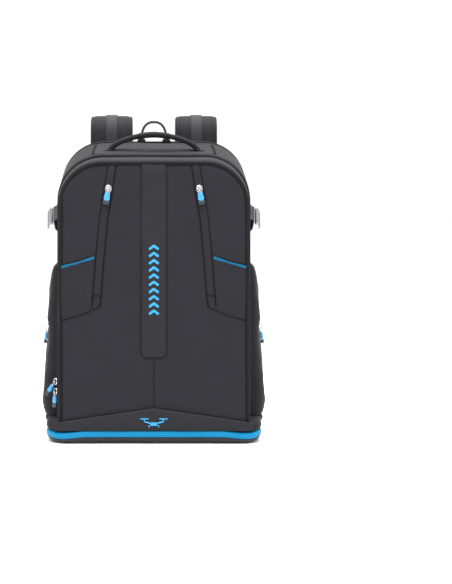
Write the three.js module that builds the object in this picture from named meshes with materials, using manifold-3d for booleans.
// A drone backpack: a padded clamshell body whose front lid unzips and folds down, with
// shoulder straps, pockets, zips and side straps. Millimetres, +Z up, the front faces -Y.
// The origin is the centre of the flat base.
import * as THREE from "three";
import { mergeVertices } from "three/addons/utils/BufferGeometryUtils.js";
import Module from "manifold-3d";

const wasm = await Module();
wasm.setup();

// ---- Driving dimensions -------------------------------------------------------------------
const GAP = 0.3; // between neighbouring pieces
const LEAN = THREE.MathUtils.degToRad(6.3); // the front slopes back towards the top
const WALL = 8; // padded fabric wall
const FAR = 700; // beyond the whole object, for cutting boxes

const BACK_Y = 125; // outer face of the back panel
const FRONT_Y = -125; // front face at the lid's lower edge
const LID_Z = 38; // height of the lid's lower edge
const BODY_HALF = 165; // half width of the body
const BODY_TOP = 511; // top of the body at the back
const CORNER = 75; // radius of the body's upper corners
const BACK_THICK = 12;
const SEAM_X = 105; // seam between the top panel and the side gussets

const LID_HALF = 162;
const LID_TOP = 441; // along the leaning front
const LID_SLOPE = 0.288; // rise of the lid's top per mm of depth
const LID_DEPTH = 40;
const ZIP_DEPTH = 50; // where the body starts, behind the lid and the zip

const BASE = { half: 182, front: -127, back: 125, corner: 36 };
const BAND = { low: 12, high: 22, proud: 1.5, inward: 10 }; // bright zip round the base
const PAD_TOP = 38; // top of the base padding, the floor of the main compartment
const PAD = { grow: 3, front: -120.5, rear: BACK_Y - 1, ease: 3 };
const TRAY_EASE = 5; // how much the tray turns in at its edges

const STRAP_HALF = 38; // half width of a shoulder strap
const STRAP_X = 77; // a shoulder strap's middle at the top
const STRAP_THICK = 12;

// ---- Materials ----------------------------------------------------------------------------
const finish = (color, roughness, metalness = 0) =>
  new THREE.MeshStandardMaterial({ color, roughness, metalness });
const fabric = finish(0x3a3a3e, 0.85);
const trim = finish(0x2b2b2f, 0.7);
const mesh = finish(0x222225, 0.95);
const lining = finish(0x6a6c70, 0.9);
const blue = finish(0x1ea4e6, 0.5);
const pullBlue = finish(0x6ab8ee, 0.45);
const metal = finish(0xc8c9cc, 0.3, 1);
const plastic = finish(0x1c1c1e, 0.45);

// ---- Shape helpers ------------------------------------------------------------------------
const lerp = THREE.MathUtils.lerp;

function solidOf(geometry) {
  const bare = geometry.index ? geometry.toNonIndexed() : geometry.clone();
  bare.deleteAttribute("normal");
  bare.deleteAttribute("uv");
  const merged = mergeVertices(bare, 1e-4);
  return new wasm.Manifold(
    new wasm.Mesh({
      numProp: 3,
      vertProperties: merged.attributes.position.array,
      triVerts: new Uint32Array(merged.index.array),
    }),
  );
}

function geometryOf(solid) {
  const made = solid.getMesh();
  const geometry = new THREE.BufferGeometry();
  geometry.setAttribute("position", new THREE.BufferAttribute(made.vertProperties, 3));
  geometry.setIndex(new THREE.BufferAttribute(made.triVerts, 1));
  return geometry.toNonIndexed();
}

function subtract(geometry, ...tools) {
  let solid = solidOf(geometry);
  for (const tool of tools) solid = solid.subtract(solidOf(tool));
  return geometryOf(solid);
}

function join(geometry, ...others) {
  let solid = solidOf(geometry);
  for (const other of others) solid = solid.add(solidOf(other));
  return geometryOf(solid);
}

function intersect(geometry, tool) {
  return geometryOf(solidOf(geometry).intersect(solidOf(tool)));
}

// Moves every vertex to where place(x, y, z) says.
function warp(geometry, place) {
  const position = geometry.attributes.position;
  for (let i = 0; i < position.count; i++) {
    position.setXYZ(i, ...place(position.getX(i), position.getY(i), position.getZ(i)));
  }
  return geometry;
}

function extrude(shape, depth, curveSegments, bevel = 0) {
  return new THREE.ExtrudeGeometry(shape, {
    depth: depth - 2 * bevel,
    curveSegments,
    bevelEnabled: bevel > 0,
    bevelThickness: bevel,
    bevelSize: bevel,
    bevelOffset: -bevel,
    bevelSegments: 2,
  }).translate(0, 0, bevel);
}

// A shape drawn in (x, z), made solid from y0 to y1.
function alongY(shape, y0, y1, curveSegments = 8, bevel = 0) {
  return extrude(shape, y1 - y0, curveSegments, bevel)
    .rotateX(Math.PI / 2)
    .translate(0, y1, 0);
}

// A shape drawn in (y, z), made solid from x0 to x1.
function alongX(shape, x0, x1, curveSegments = 8, bevel = 0) {
  const turn = new THREE.Matrix4().makeBasis(
    new THREE.Vector3(0, 1, 0),
    new THREE.Vector3(0, 0, 1),
    new THREE.Vector3(1, 0, 0),
  );
  return extrude(shape, x1 - x0, curveSegments, bevel)
    .applyMatrix4(turn)
    .translate(x0, 0, 0);
}

// A shape drawn in (x, y), made solid from z0 to z1.
function alongZ(shape, z0, z1, curveSegments = 8, bevel = 0) {
  return extrude(shape, z1 - z0, curveSegments, bevel).translate(0, 0, z0);
}

function box(x0, x1, y0, y1, z0, z1) {
  return new THREE.BoxGeometry(x1 - x0, y1 - y0, z1 - z0).translate(
    (x0 + x1) / 2,
    (y0 + y1) / 2,
    (z0 + z1) / 2,
  );
}

function polygon(points) {
  return new THREE.Shape(points.map(([a, b]) => new THREE.Vector2(a, b)));
}

function rounded(x0, x1, y0, y1, radius) {
  const shape = new THREE.Shape();
  shape.moveTo(x0 + radius, y0);
  shape.absarc(x1 - radius, y0 + radius, radius, -Math.PI / 2, 0);
  shape.absarc(x1 - radius, y1 - radius, radius, 0, Math.PI / 2);
  shape.absarc(x0 + radius, y1 - radius, radius, Math.PI / 2, Math.PI);
  shape.absarc(x0 + radius, y0 + radius, radius, Math.PI, Math.PI * 1.5);
  return shape;
}

// The body's front outline: straight sides and base, large round upper corners.
function arched(half, low, top, radius) {
  const shape = new THREE.Shape();
  shape.moveTo(-half, low);
  shape.lineTo(half, low);
  shape.absarc(half - radius, top - radius, radius, 0, Math.PI / 2);
  shape.absarc(-half + radius, top - radius, radius, Math.PI / 2, Math.PI);
  return shape;
}

// A strip of one width along a line of (x, z) points, as a closed outline.
function strip(points, width) {
  const sides = [1, -1].map((side) =>
    points.map(([x, z], i) => {
      const before = points[Math.max(i - 1, 0)];
      const after = points[Math.min(i + 1, points.length - 1)];
      const dx = after[0] - before[0];
      const dz = after[1] - before[1];
      const scale = (side * width) / 2 / Math.hypot(dx, dz);
      return [x + dz * scale, z - dx * scale];
    }),
  );
  return polygon([...sides[0], ...sides[1].reverse()]);
}

// A band of one thickness along a (y, z) curve.
function bandShape(curve, thickness, steps) {
  return strip(
    curve.getPoints(steps).map((p) => [p.x, p.y]),
    thickness,
  );
}

// ---- Assembly -----------------------------------------------------------------------------
const backpack = new THREE.Group();
const leaning = new THREE.Group(); // the lid's frame: its z runs up the sloping front
leaning.position.set(0, FRONT_Y, LID_Z);
leaning.rotation.x = -LEAN;
backpack.add(leaning);

const SIDES = Object.entries({ left: -1, right: 1 });

function add(name, geometry, material, parent = backpack) {
  const made = new THREE.Mesh(geometry, material);
  made.name = name;
  parent.add(made);
}

// How far back a plane parallel to the sloping front lies, at a height above the floor.
function slopeY(depth, z) {
  const up = (z - LID_Z + depth * Math.sin(LEAN)) / Math.cos(LEAN);
  return FRONT_Y + depth * Math.cos(LEAN) + up * Math.sin(LEAN);
}

// ---- Main body ----------------------------------------------------------------------------
const LID_TOP_Z = LID_Z + LID_TOP * Math.cos(LEAN);
const LID_TOP_Y = FRONT_Y + LID_TOP * Math.sin(LEAN);
const FLOOR_Z = PAD_TOP + GAP; // the floor of the main compartment

// The body's top falls towards the front, in line with the lid's own top.
function bodyTop(y) {
  return lerp(LID_TOP_Z, BODY_TOP, (y - LID_TOP_Y) / (BACK_Y - LID_TOP_Y));
}

// The arch from the zip to the back panel, smaller all round by inset.
function bodyArch(inset, from, to, base) {
  const rearY = BACK_Y - BACK_THICK - GAP;
  const squeeze = (y) => (bodyTop(y) - FLOOR_Z) / (BODY_TOP - FLOOR_Z);
  const front = squeeze(slopeY(ZIP_DEPTH, LID_TOP_Z));
  const rear = squeeze(rearY);
  const outline = arched(BODY_HALF - inset, base, BODY_TOP - inset, CORNER - inset);
  return warp(alongY(outline, from, to), (x, t, z) => {
    const atZ = FLOOR_Z + (z - FLOOR_Z) * lerp(front, rear, t);
    return [x, lerp(slopeY(ZIP_DEPTH + GAP, atZ), rearY, t), atZ];
  });
}

function addBody() {
  const past = 0.1; // the cutting arch runs past both ends of the body
  const hollow = bodyArch(WALL, -past, 1 + past, FLOOR_Z - 2 * WALL);
  const walls = subtract(bodyArch(0, 0, 1, FLOOR_Z), hollow);
  const edge = SEAM_X + GAP / 2;
  const cut = (x0, x1, z0) => intersect(walls, box(x0, x1, -FAR, FAR, z0, FAR));
  add("side_gusset_left", cut(-FAR, -edge, 0), fabric);
  add("side_gusset_right", cut(edge, FAR, 0), fabric);
  add("top_panel", cut(-edge + GAP, edge - GAP, BODY_TOP / 2), fabric);
  const back = arched(BODY_HALF, FLOOR_Z, BODY_TOP, CORNER);
  add("back_panel", alongY(back, BACK_Y - BACK_THICK, BACK_Y, 8, 2), fabric);
}

function footprint(grow) {
  return rounded(
    -BASE.half - grow,
    BASE.half + grow,
    BASE.front - grow,
    BASE.back + grow,
    BASE.corner + grow,
  );
}

// The chevron panel across the foot of the front, and the lid edge that follows it.
const CHEVRON = { half: 168, low: -15.5, side: -1.5, peak: 23, front: -3.5, rear: 2.8 };

function addBase() {
  add("base_tray", alongZ(footprint(0), 0, BAND.low - GAP, 6, TRAY_EASE), trim);
  const bandRing = footprint(BAND.proud);
  bandRing.holes.push(footprint(-BAND.inward));
  add("base_zip_band", alongZ(bandRing, BAND.low, BAND.high, 6), blue);
  const padHalf = BASE.half + PAD.grow;
  const pad = rounded(-padHalf, padHalf, PAD.front, PAD.rear, BASE.corner);
  add("base_pad", alongZ(pad, BAND.high + GAP, PAD_TOP, 6, PAD.ease), fabric);
  const chevron = polygon([
    [-CHEVRON.half, CHEVRON.low],
    [CHEVRON.half, CHEVRON.low],
    [CHEVRON.half, CHEVRON.side],
    [0, CHEVRON.peak],
    [-CHEVRON.half, CHEVRON.side],
  ]);
  add("chevron_panel", alongY(chevron, CHEVRON.front, CHEVRON.rear), fabric, leaning);
}

// ---- Inside the main compartment ----------------------------------------------------------
// A tall sleeve against the back, and three cells under a shelf that the drone lies on.
const SLEEVE = { y0: 86, y1: 91, top: 380, half: 150, corner: 12 };
const SHELF = { z0: 150, z1: 160, front: -70, half: 155 };
const CELL_X = 52; // middle of each upright divider
const DIVIDER = 8; // thickness of an upright divider

function addInterior() {
  const sleeve = rounded(-SLEEVE.half, SLEEVE.half, FLOOR_Z, SLEEVE.top, SLEEVE.corner);
  add("laptop_partition", alongY(sleeve, SLEEVE.y0, SLEEVE.y1, 3), lining);
  const rear = SLEEVE.y0 - GAP;
  const shelf = box(-SHELF.half, SHELF.half, SHELF.front, rear, SHELF.z0, SHELF.z1);
  add("divider_shelf", shelf, lining);
  for (const [side, sign] of SIDES) {
    const x0 = sign * CELL_X - DIVIDER / 2;
    const upright = box(x0, x0 + DIVIDER, SHELF.front, rear, FLOOR_Z, SHELF.z0 - GAP);
    add(`divider_${side}`, upright, lining);
  }
}

// ---- Zip sliders and their pulls ----------------------------------------------------------
// A slider lies on a face whose normal is -Y and runs along z. Its pull hangs from the
// bridge and turns about a bar that stands PIVOT in front of the face.
const PIVOT = 4.2;
const PULL = { length: 25, half: 6, top: 6.5, thick: 3.4, corner: 4, ease: 0.6 };
const LOOP_WIRE = { radius: 0.8, reach: 3 }; // the wire loop that holds a pull

function sliderGeometry() {
  const plate = polygon([
    [-3.4, -6],
    [3.4, -6],
    [5, -1],
    [5, 4],
    [3, 6.5],
    [-3, 6.5],
    [-5, 4],
    [-5, -1],
  ]);
  const bridge = polygon([
    [-2.2, -5],
    [-5, -4.4],
    [-6.8, -2.4],
    [-6.8, 2.4],
    [-5, 4.4],
    [-2.2, 5],
    [-2.2, 3.4],
    [-4.6, 2.9],
    [-5.6, 1.8],
    [-5.6, -1.8],
    [-4.6, -2.9],
    [-2.2, -3.4],
  ]);
  return join(alongY(plate, -2.4, -0.4), alongX(bridge, -1.2, 1.2));
}

function pullGeometry() {
  const { radius: wire, reach } = LOOP_WIRE;
  const barLength = 2 * (reach + wire);
  const bar = new THREE.CylinderGeometry(wire, wire, barLength, 8).rotateZ(Math.PI / 2);
  const foot = -PULL.top - 1; // the arms end inside the tab
  const arms = [-reach, reach].map((x) => box(x - wire, x + wire, -wire, wire, foot, 0));
  const outline = rounded(-PULL.half, PULL.half, -PULL.length, -PULL.top, PULL.corner);
  const tab = alongY(outline, -PULL.thick / 2, PULL.thick / 2, 3, PULL.ease);
  return join(bar, ...arms, tab).translate(0, -PIVOT, 0);
}

// place(holder) puts the slider where it belongs. The pull hangs straight down from it, or
// outward from the face by that angle.
function addZipPull(name, parent, place, outward = 0) {
  const holder = new THREE.Group();
  place(holder);
  parent.add(holder);
  add(`${name}_slider`, sliderGeometry(), metal, holder);
  const pull = pullGeometry().translate(0, PIVOT, 0).rotateX(-outward).translate(0, -PIVOT, 0);
  add(`${name}_pull`, pull, pullBlue, holder);
}

// ---- Rings that follow the lid's outline --------------------------------------------------
// The lid's top rises with depth, in line with the body's top. Each ring's feet stand at its
// own height, so that the lid clears the seam below it as it folds.
const FEET = { piping: 2, gusset: 6, organizer: 8, mainZip: 10 };

function lidArch(half, top, radius, depth0, depth1, low) {
  return warp(alongY(arched(half, low, top, radius), depth0, depth1), (x, y, z) => [
    x,
    y,
    z * (1 + (LID_SLOPE * y) / LID_TOP),
  ]);
}

function lidRing(half, thick, depth0, depth1, low) {
  const past = 2; // the cutting arch runs past the ring's ends
  return subtract(
    lidArch(half, LID_TOP, CORNER, depth0, depth1, low),
    lidArch(half - thick, LID_TOP - thick, CORNER - thick, depth0 - past, depth1 + past, low - 20),
  );
}

// ---- Main zip -----------------------------------------------------------------------------
const ZIP_FACE = 165.2; // outer face of the main zip, from the middle
const ZIP_THICK = 3;
const ZIP_LINE = 45; // depth of the teeth
const MAIN_SLIDERS = { upper: 67, lower: 50 }; // heights along the lid
const UPPER_PULL_OUT = THREE.MathUtils.degToRad(30); // it rests on the lower slider

function addMainZip() {
  const tape = (near, far) => lidRing(ZIP_FACE, ZIP_THICK, near + GAP, far - GAP, FEET.mainZip);
  add("main_zip_tape_lid", tape(LID_DEPTH, ZIP_LINE), trim, leaning);
  const bodyTape = tape(ZIP_LINE, ZIP_DEPTH);
  add("main_zip_tape_body", bodyTape, trim, leaning);
  for (const [which, height] of Object.entries(MAIN_SLIDERS)) {
    const place = (holder) => {
      holder.position.set(-ZIP_FACE, ZIP_LINE, height);
      holder.rotation.z = -Math.PI / 2;
    };
    addZipPull(`main_zip_${which}`, leaning, place, which === "upper" ? UPPER_PULL_OUT : 0);
  }
}

// ---- Front lid ----------------------------------------------------------------------------
// The right-hand lines of the front, in (x, height along the lid).
const POCKET_ZIP = [
  [70.5, 436],
  [77.4, 392],
  [84.9, 346],
  [91.5, 278],
  [98.1, 192],
];
const POCKET_ZIP_WIDTH = 14;
const POCKET_TAPE = { front: 0.2, rear: 2, low: 195 }; // it lies in a groove in the front
const POCKET_SLIDER = { x: 77.2, height: 394, slope: 0.16 };
const POCKET_TRIM = [
  [101, 277.5],
  [157, 261],
];
const SLIP_POCKET = [
  [157, 170],
  [157, 259],
  [101, 275.5],
  [106, 187],
  [126, 179],
];
const FLAP_FRONT = -3; // front face of a slip pocket
const TRIM = { front: -3.4, width: 3.2 };
const CENTER_STRIP = { half: 21, low: 108, high: LID_TOP - 6, front: -2.2, corner: 8 };
const ORGANIZER = { near: 30, far: 35, inset: WALL + 1 };
const PIPING = { width: 4.2, front: 1 };
const PANEL_DEPTH = 10;
const LID_CORNER = 2.5; // height of the lid's lower corners

function frontOutline(half, top, radius) {
  const shape = new THREE.Shape();
  shape.moveTo(0, CHEVRON.peak + 1);
  shape.lineTo(half, LID_CORNER);
  shape.absarc(half - radius, top - radius, radius, 0, Math.PI / 2);
  shape.absarc(-half + radius, top - radius, radius, Math.PI / 2, Math.PI);
  shape.lineTo(-half, LID_CORNER);
  return shape;
}

function pocketZipShape(sign, width) {
  const curve = new THREE.SplineCurve(POCKET_ZIP.map(([x, z]) => new THREE.Vector2(sign * x, z)));
  return bandShape(curve, width, 8);
}

function addLid() {
  const rim = PIPING.width + GAP;
  const outline = frontOutline(LID_HALF - rim, LID_TOP - rim, CORNER - rim);
  const grooveWidth = POCKET_ZIP_WIDTH + 2 * GAP;
  const grooveRear = POCKET_TAPE.rear + GAP;
  const groove = (sign) => alongY(pocketZipShape(sign, grooveWidth), -PANEL_DEPTH, grooveRear);
  const panel = subtract(alongY(outline, 0, PANEL_DEPTH), groove(-1), groove(1));
  add("front_panel", panel, fabric, leaning);
  const piping = lidRing(LID_HALF, PIPING.width, PIPING.front, PANEL_DEPTH, FEET.piping);
  add("front_piping", piping, trim, leaning);
  const gusset = lidRing(LID_HALF, WALL, PANEL_DEPTH + GAP, LID_DEPTH, FEET.gusset);
  add("lid_gusset", gusset, fabric, leaning);
  const inner = ORGANIZER.inset;
  const liner = arched(LID_HALF - inner, FEET.organizer, LID_TOP - inner, CORNER - inner);
  add("organizer_panel", alongY(liner, ORGANIZER.near, ORGANIZER.far), lining, leaning);
  const { half, low, high, front, corner } = CENTER_STRIP;
  const middle = rounded(-half, half, low, high, corner);
  add("center_strip", alongY(middle, front, -GAP, 4), fabric, leaning);
  for (const [side, sign] of SIDES) addFrontPocket(side, sign);
}

function addFrontPocket(side, sign) {
  const flip = (points) => points.map(([x, z]) => [sign * x, z]);
  const { front, rear, low } = POCKET_TAPE;
  const tape = alongY(pocketZipShape(sign, POCKET_ZIP_WIDTH), front, rear);
  const length = box(-FAR, FAR, -FAR, FAR, low, CENTER_STRIP.high);
  add(`pocket_zip_tape_${side}`, intersect(tape, length), trim, leaning);
  const flap = alongY(polygon(flip(SLIP_POCKET)), FLAP_FRONT, -GAP);
  add(`slip_pocket_${side}`, flap, fabric, leaning);
  const edging = alongY(strip(flip(POCKET_TRIM), TRIM.width), TRIM.front, -GAP);
  add(`pocket_trim_${side}`, edging, blue, leaning);
  addZipPull(`pocket_zip_${side}`, leaning, (holder) => {
    holder.position.set(sign * POCKET_SLIDER.x, front, POCKET_SLIDER.height);
    holder.rotation.y = -sign * POCKET_SLIDER.slope;
  });
}

// ---- Side pockets -------------------------------------------------------------------------
// A side pocket's outline seen from the front, in (distance from the middle, height): a
// straight zipped face below, and a hood that stands over the zip's top end.
const ZIPPED_FACE = { lowX: 193, lowZ: 60, highX: 180.5, highZ: 190 };
const POCKET_INNER = BODY_HALF + 0.6;
const POCKET_PROFILE = [
  [POCKET_INNER, 40],
  [188, 40],
  [193, 50],
  [ZIPPED_FACE.lowX, ZIPPED_FACE.lowZ],
  [ZIPPED_FACE.highX, ZIPPED_FACE.highZ],
  [184.6, 201],
  [183, 235],
  [179.5, 270],
  [176.5, 287],
  [171, 295],
  [POCKET_INNER, 298],
];
const POCKET_REAR = 98;
const POCKET_FRONT_DEPTH = ZIP_DEPTH + 12; // its front edge, behind the sloping front
const SIDE_ZIP = { y: 5, half: 7, thick: 1.5, low: 62, high: 188, slider: 184 };

function addSidePocket(side, sign) {
  const outline = polygon(POCKET_PROFILE.map(([x, z]) => [x * sign, z]));
  const front = (z) => slopeY(POCKET_FRONT_DEPTH, z);
  const pocket = warp(alongY(outline, 0, 1), (x, t, z) => [x, lerp(front(z), POCKET_REAR, t), z]);
  add(`side_pocket_${side}`, pocket, fabric);

  const { lowX, lowZ, highX, highZ } = ZIPPED_FACE;
  const face = (z) => lerp(lowX, highX, (z - lowZ) / (highZ - lowZ)) + GAP;
  const { y, half, thick, low, high, slider } = SIDE_ZIP;
  const tape = polygon([
    [sign * face(low), low],
    [sign * face(high), high],
    [sign * (face(high) + thick), high],
    [sign * (face(low) + thick), low],
  ]);
  add(`side_zip_tape_${side}`, alongY(tape, y - half, y + half), trim);
  const tilt = Math.atan2(lowX - highX, highZ - lowZ);
  addZipPull(`side_zip_${side}`, backpack, (holder) => {
    holder.rotation.order = "ZXY";
    holder.position.set(sign * (face(slider) + thick), y, slider);
    holder.rotation.z = (sign * Math.PI) / 2;
    holder.rotation.x = -tilt;
  });
}

// ---- Compression straps -------------------------------------------------------------------
// Webbing that crosses the side above the pocket, with a flat metal hook on its outer face.
// It slopes down towards the back, and the hook stands out from it by its tilt.
const SIDE_STRAP = { z: 391, half: 12.5, slope: 0.29, thick: 2, depth: ZIP_DEPTH + 7 };
const STRAP_ROUTE = [
  [1.4, 0],
  [1.4, 6],
  [9.4, 24],
  [9.4, 80],
  [1.4, 118],
  [1.4, 130],
];
const HOOK = { y0: 30, y1: 66, half: 16, near: 11.6, far: 14.6 };
const HOOK_SLOT = { wide: 5, half: 13.3, front: 4, rear: 11, corner: 1.5 };
const HOOK_MOUTH = -8; // the rear slot opens below this height
const HOOK_TILT = THREE.MathUtils.degToRad(14);

function addSideStrap(side, sign) {
  const holder = new THREE.Group();
  holder.position.set(0, slopeY(SIDE_STRAP.depth, SIDE_STRAP.z), SIDE_STRAP.z);
  holder.rotation.x = -SIDE_STRAP.slope;
  backpack.add(holder);
  const out = (distance) => sign * (BODY_HALF + distance);
  const route = STRAP_ROUTE.map(([distance, y]) => [out(distance), y]);
  const webbing = alongZ(strip(route, SIDE_STRAP.thick), -SIDE_STRAP.half, SIDE_STRAP.half);
  add(`compression_strap_${side}`, webbing, trim, holder);

  const frame = rounded(HOOK.y0, HOOK.y1, -HOOK.half, HOOK.half, 4);
  const { wide, half, corner } = HOOK_SLOT;
  const slots = [HOOK.y0 + HOOK_SLOT.front, HOOK.y1 - HOOK_SLOT.rear];
  for (const y of slots) frame.holes.push(rounded(y, y + wide, -half, half, corner));
  const [x0, x1] = [out(HOOK.near), out(HOOK.far)].sort((a, b) => a - b);
  const mouth = box(x0 - 1, x1 + 1, slots[1], slots[1] + wide, -2 * HOOK.half, HOOK_MOUTH);
  const hook = subtract(alongX(frame, x0, x1, 3), mouth);
  const hinge = [(x0 + x1) / 2, HOOK.y0 + HOOK_SLOT.front / 2];
  hook.translate(-hinge[0], -hinge[1], 0).rotateZ(-sign * HOOK_TILT);
  add(`hook_${side}`, hook.translate(...hinge, 0), metal, holder);
}

// ---- Handles ------------------------------------------------------------------------------
// Each is an arch of webbing whose feet narrow to the line that it turns over on.
// Below a fullness of 1 the arch is squarer than an ellipse.
const HANDLE = { y: 12, half: 78, foot: 493.4, top: 526.5, thick: 8, width: 22, fullness: 1 };
const LOOP = { y: 118, half: 22.5, foot: 512.8, top: 549, thick: 4.6, width: 12, fullness: 0.7 };
const FOOT = { half: 3, rise: 14 }; // half width at the foot, and height of the full width

function archGeometry({ y, half, foot, top, thick, width, fullness }) {
  const steps = 16;
  const rise = top - foot - thick / 2;
  const line = [];
  for (let i = 0; i <= steps; i++) {
    const angle = (Math.PI * i) / steps;
    const across = Math.abs(Math.cos(angle)) ** fullness;
    const x = -Math.sign(Math.cos(angle)) * half * across;
    line.push([x, foot + rise * Math.sin(angle) ** fullness]);
  }
  const band = alongY(strip(line, thick), y - width / 2, y + width / 2);
  const tapered = polygon([
    [y - FOOT.half, foot],
    [y + FOOT.half, foot],
    [y + width / 2, foot + FOOT.rise],
    [y + width / 2, top + thick],
    [y - width / 2, top + thick],
    [y - width / 2, foot + FOOT.rise],
  ]);
  return intersect(band, alongX(tapered, -2 * half, 2 * half));
}

function addHandles() {
  add("grab_handle", archGeometry(HANDLE), fabric);
  add("hang_loop", archGeometry(LOOP), trim);
}

// ---- Back pads ----------------------------------------------------------------------------
const BACK_PAD = { inner: 12, outer: 124, low: 215, high: 440 };
const LUMBAR_PAD = { half: 100, low: 66, high: 198 };
const FOAM = { thick: 15, corner: 22, ease: 5 };

function addBackPads() {
  const skin = BACK_Y + GAP;
  const pad = (x0, x1, z0, z1) =>
    alongY(rounded(x0, x1, z0, z1, FOAM.corner), skin, skin + FOAM.thick, 4, FOAM.ease);
  const { inner, outer, low, high } = BACK_PAD;
  add("back_pad_left", pad(-outer, -inner, low, high), mesh);
  add("back_pad_right", pad(inner, outer, low, high), mesh);
  const lumbar = pad(-LUMBAR_PAD.half, LUMBAR_PAD.half, LUMBAR_PAD.low, LUMBAR_PAD.high);
  add("lumbar_pad", lumbar, mesh);
}

// ---- Shoulder straps ----------------------------------------------------------------------
// The middle of a strap in (y, z), from its root behind the body's top to its lower end.
const STRAP_ROOT_LINE = [
  [133, 478],
  [133, 510],
  [138, 534],
  [149, 548],
  [164, 553],
];
const STRAP_LINE = [
  [164, 553],
  [184, 546],
  [197, 525],
  [205, 490],
  [208, 440],
  [205, 370],
  [198, 300],
  [188, 235],
  [178, 180],
];
const STRAP_PEAK_Y = STRAP_LINE[0][0];
const RAIL = { half: 10, thick: 3, lift: 0.6 }; // the webbing on the strap's outer face
const DRIFT = { out: 24, start: 450, run: 260 };
const LOCK = { y: 171, thick: 5, half: 17, low: 148, high: 174, corner: 3 };
const LOCK_SLOTS = { half: 13, rows: [[153, 158], [165, 169]] };
const ANCHOR = { x: 128, y: 131, z: 52 }; // where the lower webbing is sewn to the back
const LOWER_WEBBING = { half: 12.5, thick: 2, headBehind: 2.2, headBelow: 3 };
const STERNUM = { z: 372, y: 213.8 };
const STERNUM_SLIDER = { half: 15, rise: 6, thick: 4, corner: 3 };
const STERNUM_WEBBING = { half: 10, near: 2, far: 4.5, length: 70 };
const STERNUM_BUCKLE = { left: 13, right: 11, high: 66, low: 92, thick: 8, corner: 4 };

// A shoulder strap runs outwards as it goes down.
function strapDrift(z) {
  return DRIFT.out * THREE.MathUtils.smoothstep(DRIFT.start - z, 0, DRIFT.run);
}

function lineCurve(points) {
  return new THREE.SplineCurve(points.map(([y, z]) => new THREE.Vector2(y, z)));
}

function addShoulderStrap(side, sign) {
  const middle = sign * STRAP_X;
  const span = [middle - STRAP_HALF, middle + STRAP_HALF];
  const root = alongX(bandShape(lineCurve(STRAP_ROOT_LINE), STRAP_THICK, 10), ...span);
  const gap = 0.5; // each side of the line that the strap swings on
  const before = box(-FAR, FAR, 0, STRAP_PEAK_Y - gap, 0, FAR);
  add(`strap_root_${side}`, intersect(root, before), fabric);

  const padding = alongX(bandShape(lineCurve(STRAP_LINE), STRAP_THICK, 16), ...span);
  const after = box(-FAR, FAR, STRAP_PEAK_Y + gap, FAR, 0, FAR);
  const railShape = bandShape(lineCurve(STRAP_LINE.slice(3)), RAIL.thick, 10);
  const rail = alongX(railShape, middle - RAIL.half, middle + RAIL.half);
  rail.translate(0, STRAP_THICK / 2 + RAIL.lift, 0);
  const whole = join(intersect(padding, after), rail);
  const drift = (x, y, z) => [x + sign * strapDrift(z), y, z];
  add(`shoulder_strap_${side}`, warp(whole, drift), fabric);

  addLowerStrap(side, sign, middle + sign * strapDrift(0));
  addSternum(side, middle + sign * strapDrift(STERNUM.z));
}

// The ladder lock under a strap's lower end, and the webbing from it to the bag.
function addLowerStrap(side, sign, end) {
  const lock = rounded(end - LOCK.half, end + LOCK.half, LOCK.low, LOCK.high, LOCK.corner);
  for (const [low, high] of LOCK_SLOTS.rows) {
    lock.holes.push(rounded(end - LOCK_SLOTS.half, end + LOCK_SLOTS.half, low, high, 1));
  }
  add(`ladder_lock_${side}`, alongY(lock, LOCK.y, LOCK.y + LOCK.thick, 2), plastic);

  const { half, thick, headBehind, headBelow } = LOWER_WEBBING;
  const head = { y: LOCK.y - headBehind, z: LOCK.low - headBelow };
  const line = [ANCHOR, head].map(({ y, z }) => [y, z]);
  const webbing = warp(alongX(strip(line, thick), -half, half), (x, y, z) => {
    const t = (z - ANCHOR.z) / (head.z - ANCHOR.z);
    return [x + lerp(sign * ANCHOR.x, end, t), y, z];
  });
  add(`lower_webbing_${side}`, webbing, trim);
}

// Half of the chest strap: a rail slider, a length of webbing and half of the buckle.
function addSternum(side, x) {
  const { z, y } = STERNUM;
  const part = (half, low, high, { thick, corner }) =>
    alongY(rounded(x - half, x + half, z + low, z + high, corner), y, y + thick, 3);
  const { half, rise } = STERNUM_SLIDER;
  const slider = part(half, -rise, rise, STERNUM_SLIDER);
  const buckle = part(STERNUM_BUCKLE[side], -STERNUM_BUCKLE.low, -STERNUM_BUCKLE.high, STERNUM_BUCKLE);
  const { half: reach, near, far, length } = STERNUM_WEBBING;
  const webbing = box(x - reach, x + reach, y + near, y + far, z - length, z);
  add(`sternum_half_${side}`, join(slider, webbing, buckle), plastic);
}

addBody();
addBase();
addInterior();
addMainZip();
addLid();
for (const [side, sign] of SIDES) {
  addSidePocket(side, sign);
  addSideStrap(side, sign);
  addShoulderStrap(side, sign);
}
addHandles();
addBackPads();

export default backpack;
